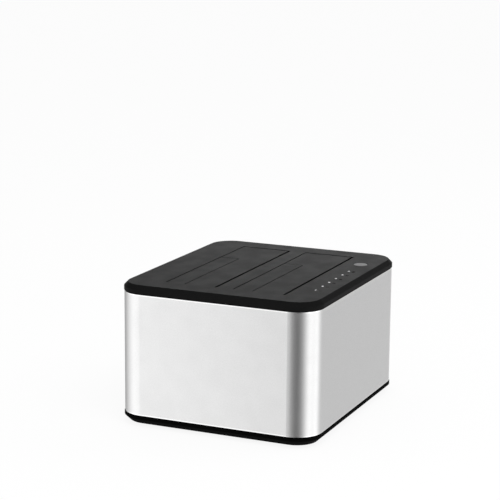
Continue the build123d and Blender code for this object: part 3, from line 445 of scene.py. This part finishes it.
# Power switch. A black moulded body behind the panel, and in it a glossy black rocker with a
# white circle on the pressed half and a white bar on the raised one, both pad printed.
paint(port_black, "power_switch_body")
rocker_dark, rocker_light = (0.012, 0.012, 0.013), (0.016, 0.016, 0.017)
rocker_gloss = moulded("rocker_plastic", rocker_dark, rocker_light, roughness=0.22, gloss=0.5)
paint(rocker_gloss, "power_rocker")
mark_dark, mark_light = (0.62, 0.62, 0.60), (0.72, 0.72, 0.70)
mark_white = moulded("white_print", mark_dark, mark_light, roughness=0.5, gloss=0.3)
print_thickness = 0.02 * mm
mark_line = 0.45 * mm
mark_radius = 1.1 * mm
mark_steps = 48
bar_half_length = 1.4 * mm
bar_end_steps = 9
panel_flange_thickness = 1.2 * mm
panel_back_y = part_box("port_panel")[0].y + panel_flange_thickness
rocker_low, rocker_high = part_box("power_rocker")
rocker_z = (rocker_low.z + rocker_high.z) / 2
rocker_lean = math.radians(20)
rocker_proud = 0.25 * mm
valley_x = -27.48 * mm
valley_to_middle = 2.54 * mm
valley = np.array([valley_x, panel_back_y + rocker_proud])
raised_side = np.array([-math.cos(rocker_lean), math.sin(rocker_lean)])
pressed_middle = valley + (valley_to_middle, 0.0)
raised_middle = valley + raised_side * valley_to_middle


def on_face(middle, lean, across, up, out):
    """Points on a rocker face that leans about Z: across runs along the face, up is Z and out
    leaves the face."""
    x = middle[0] - across * math.cos(lean) + out * math.sin(lean)
    y = middle[1] + across * math.sin(lean) + out * math.cos(lean)
    return np.stack([x, y, rocker_z + up], axis=-1)


mark_angle = np.linspace(0, 2 * math.pi, mark_steps, endpoint=False)
mark_section = [
    (mark_radius - mark_line / 2, 0.0),
    (mark_radius - mark_line / 2, print_thickness),
    (mark_radius + mark_line / 2, print_thickness),
    (mark_radius + mark_line / 2, 0.0),
]
mark_rows = [
    on_face(pressed_middle, 0.0, radius * np.cos(mark_angle), radius * np.sin(mark_angle), out)
    for radius, out in mark_section
]
off_ring = np.stack(mark_rows, axis=1).reshape(-1, 3)
ring_faces = tube_faces(mark_steps, len(mark_section), closed=True)
add_piece("rocker_off_ring", off_ring, ring_faces, mark_white, "power_rocker", "white_moulding")
bar_turn = np.linspace(0, math.pi, bar_end_steps)
bar_across = np.concatenate([np.cos(bar_turn), -np.cos(bar_turn)]) * mark_line / 2
bar_up = np.concatenate([np.sin(bar_turn), -np.sin(bar_turn)]) * mark_line / 2
bar_up += np.repeat([1, -1], bar_end_steps) * (bar_half_length - mark_line / 2)
bar_rows = [
    on_face(raised_middle, rocker_lean, bar_across, bar_up, out) for out in (0.0, print_thickness)
]
on_bar = np.stack(bar_rows).reshape(-1, 3)
bar_faces = tube_faces(len(bar_rows), len(bar_across))
add_piece("rocker_on_bar", on_bar, bar_faces, mark_white, "power_rocker", "white_moulding")

# Rear panel. A flat matte black moulding round the two sockets and the switch, which fills the
# sleeve's window and is held by a flange at each end behind it.
panel_dark, panel_light = (0.009, 0.009, 0.0095), (0.012, 0.012, 0.0125)
panel_finish = moulded("panel_plastic", panel_dark, panel_light, roughness=0.55, gloss=0.15)
paint(panel_finish, "port_panel")

# Aluminium sleeve. Extruded tube, bead blasted and clear anodised, so that it is satin with a very
# fine sparkle, with both cut ends chamfered bright after the blasting. Near each end the colour
# goes near white and the surface smoother, over the chamfer and about as far again down the face:
# the polish of the chamfer is real, and the near white on the face below it is a painted highlight.
chamfer_height = 0.5 * mm
painted_highlight_reach = 2.0 * chamfer_height
painted_highlight_fade = 0.4 * chamfer_height
blasted_roughness, cut_roughness = 0.32, 0.1
blasted_dark, blasted_light = (0.775, 0.775, 0.775), (0.825, 0.825, 0.825)
cut_and_highlight_color = (0.97, 0.97, 0.97)
sleeve_low, sleeve_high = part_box("aluminium_sleeve")
half_sleeve = (sleeve_high.z - sleeve_low.z) / 2
sleeve_middle = (sleeve_low.z + sleeve_high.z) / 2


def arithmetic(owner, operation, first, second=0.0):
    """The result of an operation on an output and a number or another output."""
    step = add_node(owner, "ShaderNodeMath", Value=first)
    step.operation = operation
    if isinstance(second, bpy.types.NodeSocket):
        owner.node_tree.links.new(second, step.inputs[1])
    else:
        step.inputs[1].default_value = second
    return step.outputs["Value"]


aluminium = new_finish("blasted_aluminium", (0.80, 0.80, 0.80), blasted_roughness, metallic=1.0)
blasting = noise_over(aluminium, grain=0.45 * mm, detail=4.0)
clouding = noise_over(aluminium, grain=9 * mm, detail=3.0)
from_middle = arithmetic(aluminium, "SUBTRACT", own_axis(aluminium, "Z"), sleeve_middle)
# Real polish and painted highlight: near each end of the sleeve the colour goes near white over the
# chamfer and over the blasted face just below it.
chamfer_and_painted_highlight = spread(
    aluminium,
    arithmetic(aluminium, "ABSOLUTE", from_middle),
    0.0,
    1.0,
    start=half_sleeve - painted_highlight_reach - painted_highlight_fade,
    end=half_sleeve - painted_highlight_reach,
)
sparkle = spread(aluminium, blasting, 0.0, 1.0)
blasted_colors = blend_colors(aluminium, sparkle, blasted_dark, blasted_light)
sleeve_colors = blend_colors(aluminium, chamfer_and_painted_highlight, blasted_colors, cut_and_highlight_color)
send(aluminium, sleeve_colors, "Base Color")
smoothest, roughest = blasted_roughness - roughness_drift, blasted_roughness + roughness_drift
satin = spread(aluminium, clouding, smoothest, roughest)
sleeve_roughness = add_node(
    aluminium, "ShaderNodeMapRange", {"To Max": cut_roughness}, Value=chamfer_and_painted_highlight, To_Min=satin
)
send(aluminium, sleeve_roughness.outputs["Result"], "Roughness")
emboss(aluminium, blasting, depth=0.004 * mm)
paint(aluminium, "aluminium_sleeve")

# Bay wells. Deep guide boxes under the cover's openings, moulded in a paler black than the
# cover, and screwed up into it.
well_dark, well_light = (0.036, 0.036, 0.037), (0.048, 0.048, 0.049)
well_finish = moulded("well_plastic", well_dark, well_light, roughness=0.6, gloss=0.2)
paint(well_finish, "front_bay_well", "rear_bay_well")

# Top cover. The black lid that plugs into the sleeve, matte on every face, with fine erosion
# grain that catches light at a low angle.
cover_dark, cover_light = (0.0068, 0.0068, 0.0068), (0.0096, 0.0096, 0.0096)
cover_finish = moulded("cover_plastic", cover_dark, cover_light, roughness=0.42, gloss=0.022)
paint(cover_finish, "top_cover")

# Marks in front of the indicator row. Small dark captions pad printed on the cover: a number for
# each bay, then the share of a copy that is done.
cover_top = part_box("top_cover")[1].z
indicator_first_x = -35.95 * mm
indicator_pitch = 10.4 * mm
indicator_y = -47.1 * mm
caption_height = 2.1 * mm
caption_boldness = 0.12 * mm
caption_drop = 3.2 * mm
caption_shift = -1.0 * mm
captions = ("1", "2", "25", "50", "75", "100")
print_dark, print_light = (0.002, 0.002, 0.002), (0.003, 0.003, 0.003)
dark_print = moulded("dark_print", print_dark, print_light, roughness=0.7, gloss=0.02)


def flat_text(text, size):
    """A mesh of upright text in the XY plane, centred on the origin and one print thick."""
    words = bpy.data.curves.new("words", "FONT")
    words.body = text
    words.size = size
    words.align_x = "CENTER"
    words.align_y = "CENTER"
    words.extrude = print_thickness / 2
    words.offset = caption_boldness
    sample = new_object("words", words)
    shaped = sample.evaluated_get(bpy.context.evaluated_depsgraph_get())
    mesh = bpy.data.meshes.new_from_object(shaped)
    bpy.data.objects.remove(sample)
    return mesh


for number, caption in enumerate(captions):
    mesh = flat_text(caption, caption_height)
    place = (
        indicator_first_x + number * indicator_pitch + caption_shift,
        indicator_y - caption_drop,
        cover_top + print_thickness / 2,
    )
    mesh.transform(Matrix.Translation(place))
    mesh.materials.clear()
    mesh.materials.append(dark_print)
    piece = new_object(f"indicator_caption_{number + 1}", mesh)
    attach(piece, "case")

# Indicator lamps and light pipes. Clear acrylic rods, flush in the cover, over small white
# lamps. Five are lit and the first one glows dimly.
lamp_dark, lamp_light = (0.68, 0.67, 0.58), (0.82, 0.81, 0.74)
lamp_finish = new_finish("lamp_epoxy", (0.75, 0.74, 0.66), roughness=0.25)
lamp_cloud = noise_over(lamp_finish, grain=0.3 * mm)
send(lamp_finish, blend_colors(lamp_finish, lamp_cloud, lamp_dark, lamp_light), "Base Color")
paint(lamp_finish, "indicator_lamps")

unlit, lit = (0.0, 0.0, 0.0), (0.35, 0.355, 0.36)
dim_share = 0.03
glow_depth = 0.4 * mm
full_glow_depth = 0.1 * mm
acrylic = new_finish("clear_acrylic", (0.22, 0.225, 0.23), roughness=0.15)
shader_of(acrylic).inputs["Transmission Weight"].default_value = 0.4
shader_of(acrylic).inputs["Emission Strength"].default_value = 1.0
tip = spread(
    acrylic,
    own_axis(acrylic, "Z"),
    0.0,
    1.0,
    start=cover_top - glow_depth,
    end=cover_top - full_glow_depth,
)
after_first = spread(
    acrylic,
    own_axis(acrylic, "X"),
    dim_share,
    1.0,
    start=indicator_first_x + 0.4 * indicator_pitch,
    end=indicator_first_x + 0.6 * indicator_pitch,
)
glow = arithmetic(acrylic, "MULTIPLY", tip, after_first)
send(acrylic, blend_colors(acrylic, glow, unlit, lit), "Emission Color")
acrylic_haze = noise_over(acrylic, grain=0.5 * mm)
send(acrylic, spread(acrylic, acrylic_haze, 0.1, 0.2), "Roughness")
paint(acrylic, "light_pipes")

# Copy button and the switch under it. The cap is a moulded disc with very fine turned rings,
# painted grey, and the plunger that it pushes is ivory white.
button_ring_pitch = 0.35 * mm
button_ring_depth = 0.004 * mm
button_dark, button_light = (0.086, 0.086, 0.087), (0.118, 0.118, 0.119)
button_low, button_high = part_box("clone_button")
button_middle = (button_low + button_high) / 2
button_finish = new_finish("button_paint", (0.1, 0.1, 0.1), roughness=0.4, gloss=0.3)
button_place = centred(button_finish, own_place(button_finish), button_middle.x, button_middle.y)
button_rings = ridges(button_finish, button_place, button_ring_pitch, round_z=True)
emboss(button_finish, button_rings, button_ring_depth)
button_speck = noise_over(button_finish, grain=0.3 * mm, detail=3.0)
button_colors = blend_colors(button_finish, button_speck, button_dark, button_light)
send(button_finish, button_colors, "Base Color")
paint(button_finish, "clone_button")
paint(ivory, "tact_plunger")
paint(port_black, "clone_switch")

# Flat lead. Ten conductors side by side in a pale sheath, from the main board up to the
# indicator board, with a black moulded header at each end.
conductor_pitch = 0.79 * mm
conductor_relief = 0.12 * mm
sheath_groove_shade, sheath_crest_sheen = (0.40, 0.40, 0.39), (0.55, 0.55, 0.54)
sheath = new_finish("lead_sheath", (0.5, 0.5, 0.49), roughness=0.4)
conductors = ridges(sheath, own_place(sheath), conductor_pitch)
emboss(sheath, conductors, conductor_relief)
# Painted shade and painted highlight: the sheath's colour is darker in the grooves between the
# conductors and lighter on their crests.
send(sheath, blend_colors(sheath, conductors, sheath_groove_shade, sheath_crest_sheen), "Base Color")
paint(sheath, "ribbon_lead")
paint(socket_finish, "lead_headers")

# Flaps. Each bay has an L-shaped flap and a narrow one that closes the slot in it, moulded like
# the cover. Blackened steel pins carry them, and a wound spring on each pin shuts its flap.
wire = blotched_metal(
    "blackened_steel",
    color=(0.07, 0.07, 0.072),
    dull=(0.05, 0.05, 0.052),
    bright=(0.09, 0.09, 0.092),
    smoothest=0.3,
    roughest=0.45,
    grain=0.25 * mm,
)
for bay in ("front", "rear"):
    for flap in ("main", "small"):
        paint(cover_finish, f"{bay}_{flap}_flap")
        paint(wire, f"{bay}_{flap}_flap_pin", f"{bay}_{flap}_flap_spring")

# Screws. Zinc plated pan heads with a cross recess: four long ones up through the base, and
# short ones for the wells and the boards.
zinc = blotched_metal(
    "zinc_plate",
    color=(0.55, 0.56, 0.58),
    dull=(0.45, 0.46, 0.49),
    bright=(0.63, 0.64, 0.66),
    smoothest=0.24,
    roughest=0.42,
    grain=0.7 * mm,
)
paint(zinc, "case_screws", "board_screws", "well_screws", "indicator_board_screws")

# Studio. A pale floor, a soft lamp above and one at the front, and bands of a sphere round the
# set that only the gloss sees: walls of uneven brightness along the horizon, and a dark ceiling
# with a low bright stretch and a bright slot in it.
floor_half = 30.0
floor_shown_share = 0.9
white = (1.0, 1.0, 1.0, 1.0)


def show_surface(material, output):
    """Makes a shader's output the surface of the material."""
    surface = material.node_tree.nodes["Material Output"].inputs["Surface"]
    material.node_tree.links.new(output, surface)


floor_finish = bpy.data.materials.new("studio_floor")
floor_finish.use_nodes = True
floor_paper = add_node(floor_finish, "ShaderNodeBsdfDiffuse", {"Color": white})
floor_glow = add_node(floor_finish, "ShaderNodeEmission")
floor_seen = add_node(floor_finish, "ShaderNodeLightPath").outputs["Is Camera Ray"]
floor_shown = arithmetic(floor_finish, "MULTIPLY", floor_seen, floor_shown_share)
floor_mix = add_node(floor_finish, "ShaderNodeMixShader", Fac=floor_shown)
floor_finish.node_tree.links.new(floor_paper.outputs["BSDF"], floor_mix.inputs[1])
floor_finish.node_tree.links.new(floor_glow.outputs["Emission"], floor_mix.inputs[2])
show_surface(floor_finish, floor_mix.outputs["Shader"])
floor_signs = ((-1, -1), (1, -1), (1, 1), (-1, 1))
floor_mesh = bpy.data.meshes.new("studio_floor")
floor_mesh.from_pydata(
    [(x * floor_half, y * floor_half, 0.0) for x, y in floor_signs], [], [(0, 1, 2, 3)]
)
floor_mesh.materials.append(floor_finish)
floor = new_object("studio_floor", floor_mesh)
floor.visible_glossy = False

sphere_radius = 2.0
sphere_middle = (0.0, 0.0, 0.04)
band_columns = 121
band_rows = 17


def reflected_band(name, elevations, strengths):
    """A band of a sphere round the object's foot, between two elevations in degrees, that shows
    only in reflections. Its point at azimuth a and elevation e is the sphere's radius times
    (cos e cos a, cos e sin a, sin e) from the middle, and its strength runs straight from one
    (azimuth, strength) pair to the next."""
    azimuths, levels = np.array(strengths).T
    turn = np.linspace(0.0, 360.0, band_columns)
    rise = np.linspace(*elevations, band_rows)
    a, e = np.meshgrid(np.radians(turn), np.radians(rise), indexing="ij")
    away = np.stack([np.cos(e) * np.cos(a), np.cos(e) * np.sin(a), np.sin(e)], axis=-1)
    points = (sphere_middle + sphere_radius * away).reshape(-1, 3)
    i, j = np.meshgrid(np.arange(band_columns - 1), np.arange(band_rows - 1), indexing="ij")
    first = i * band_rows + j
    corners = [first, first + 1, first + band_rows + 1, first + band_rows]
    faces = np.stack(corners, axis=-1).reshape(-1, 4)
    mesh = bpy.data.meshes.new(name)
    mesh.from_pydata(points.tolist(), [], faces.tolist())
    level = np.repeat(np.interp(turn, azimuths, levels, period=360), band_rows)
    mesh.attributes.new("level", "FLOAT", "POINT").data.foreach_set("value", level)
    material = bpy.data.materials.new(name)
    material.use_nodes = True
    material.cycles.emission_sampling = "NONE"
    reader = add_node(material, "ShaderNodeAttribute")
    reader.attribute_name = "level"
    shine = add_node(material, "ShaderNodeEmission", Strength=reader.outputs["Fac"])
    show_surface(material, shine.outputs["Emission"])
    mesh.materials.append(material)
    band = new_object(name, mesh)
    band.visible_camera = False
    band.visible_diffuse = False
    band.visible_transmission = False
    band.visible_shadow = False


walls = [
    (50, 0.36),
    (67, 0.44),
    (78, 0.60),
    (96, 0.90),
    (117, 1.22),
    (125, 1.37),
    (131, 1.24),
    (139, 1.24),
    (145, 1.35),
    (152, 1.14),
    (160, 1.03),
    (164, 0.84),
    (170, 0.56),
    (178, 0.36),
    (187, 0.25),
    (196, 0.17),
    (204, 0.12),
    (212, 0.19),
    (221, 0.31),
    (228, 0.50),
    (236, 0.84),
    (244, 1.16),
    (250, 1.42),
    (259, 1.40),
    (265, 1.18),
    (276, 1.18),
    (282, 1.40),
    (293, 1.38),
    (298, 1.08),
    (306, 0.80),
    (318, 0.62),
    (335, 0.61),
    (345, 0.66),
    (356, 0.74),
    (372, 1.20),
    (385, 0.90),
]
ceiling_dark = 0.12
slot_bright = 1.50
low_ceiling = [(340, 0.1), (356, 0.8), (8, 2.7), (22, 2.6), (34, 1.8), (46, 0.6), (70, 0.2)]
slot_ceiling = [(98, ceiling_dark), (106, slot_bright), (126, slot_bright), (134, ceiling_dark)]
dark_ceiling = [(0, ceiling_dark), (180, ceiling_dark)]
reflected_band("walls", (-85, 9), walls)
reflected_band("low_ceiling", (9, 17), low_ceiling)
reflected_band("middle_ceiling", (17, 50), dark_ceiling)
reflected_band("slot_ceiling", (50, 74), slot_ceiling)
reflected_band("high_ceiling", (74, 90), dark_ceiling)

ambient_strength = 0.7
world = bpy.data.worlds.new("studio")
bpy.context.scene.world = world
world.use_nodes = True
world_path = add_node(world, "ShaderNodeLightPath")
seen = world_path.outputs["Is Camera Ray"]
for ray in ("Is Glossy Ray", "Is Transmission Ray"):
    seen = arithmetic(world, "MAXIMUM", seen, world_path.outputs[ray])
ambient = add_node(world, "ShaderNodeMapRange", {"To Min": ambient_strength}, Value=seen)
background = world.node_tree.nodes["Background"]
background.inputs["Color"].default_value = white
world.node_tree.links.new(ambient.outputs["Result"], background.inputs["Strength"])

cad_middle = (cad_bounds[0] + cad_bounds[1]) / 2


def soft_lamp(name, place, size, power):
    """A square lamp at place that faces the object's middle and that the gloss doesn't see."""
    lamp = bpy.data.lights.new(name, "AREA")
    lamp.size = size
    lamp.energy = power
    holder = new_object(name, lamp)
    holder.location = place
    away = holder.location - cad_middle
    holder.rotation_mode = "QUATERNION"
    holder.rotation_quaternion = away.to_track_quat("Z", "Y")
    holder.visible_glossy = False


soft_lamp("key_lamp", place=(-0.5, -0.5, 1.0), size=0.8, power=5.0)
soft_lamp("fill_lamp", place=(0.6, -0.9, 0.5), size=0.8, power=2.0)

# Camera. Its place and turn come from the object's edges in the photograph, with the horizon
# level to a degree; the lens is given for a sensor 36 mm wide.
camera_place = (-0.866214, -0.370801, 0.291758)
camera_right = (0.40228362, -0.91547584, 0.00847783)
camera_up = (0.18627423, 0.09091314, 0.97828253)
camera_back = (-0.89636477, -0.39196784, 0.20710242)
camera_data = bpy.data.cameras.new("camera")
camera_data.lens = 120.56
camera_data.sensor_width = 36.0
camera = new_object("camera", camera_data)
turned = Matrix((camera_right, camera_up, camera_back)).transposed().to_4x4()
camera.matrix_world = Matrix.Translation(camera_place) @ turned
bpy.context.scene.camera = camera
bpy.context.scene.view_settings.view_transform = "Standard"
